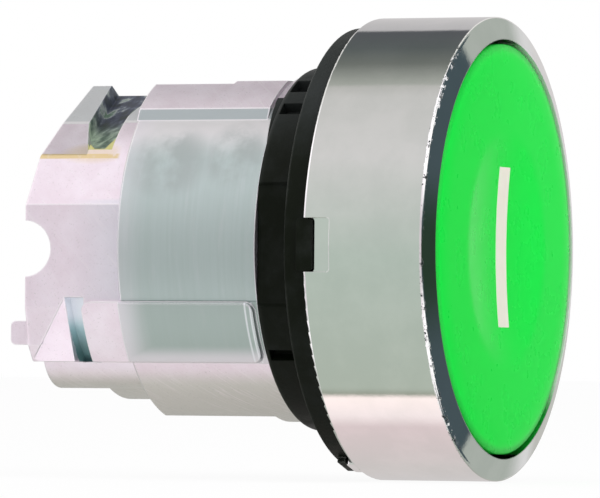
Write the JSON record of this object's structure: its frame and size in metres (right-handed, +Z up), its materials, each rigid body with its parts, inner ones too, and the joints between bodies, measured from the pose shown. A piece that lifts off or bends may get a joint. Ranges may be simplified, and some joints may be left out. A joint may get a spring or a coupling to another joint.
{
  "type": "pushbutton operator head",
  "caption": "Flush sprung pushbutton head for a panel hole: bright turned bezel, dished green cap with a bar mark, rubber panel gasket and a die-cast body with rear bayonet forms.",
  "frame": {"origin": "on the push axis, in the plane of the panel's front face, where the gasket's flange lies on the panel", "axes": "+Y from the button to the rear, so the button faces -Y; +Z up along the bar mark; the locating tab and the ramp are on -X"},
  "size_m": [0.029, 0.0296, 0.029],
  "materials": {
    "bezel_chrome": "bright",
    "cap_green": "gloss",
    "black_rubber": "matte",
    "die_cast_zinc": "satin",
    "grey_plastic": "matte",
    "spring_steel": "satin"
  },
  "bodies": {
    "housing": {"operator_body": "die_cast_zinc", "bezel": "bezel_chrome", "panel_gasket": "black_rubber", "seal_retainer": "spring_steel", "diaphragm_seal": "black_rubber", "return_spring": "spring_steel"},
    "button": {"button_cap": "cap_green", "plunger": "grey_plastic", "contact_bridge": "grey_plastic", "retaining_clip": "spring_steel"}
  },
  "joints": [
    {"name": "button_press", "type": "slide", "parent": "housing", "child": "button", "axis": [0, 1, 0], "range_m": [0, 0.0043], "stiffness_N_per_m": 500, "springref_m": -0.004, "deforming": ["return_spring", "diaphragm_seal"]}
  ]
}
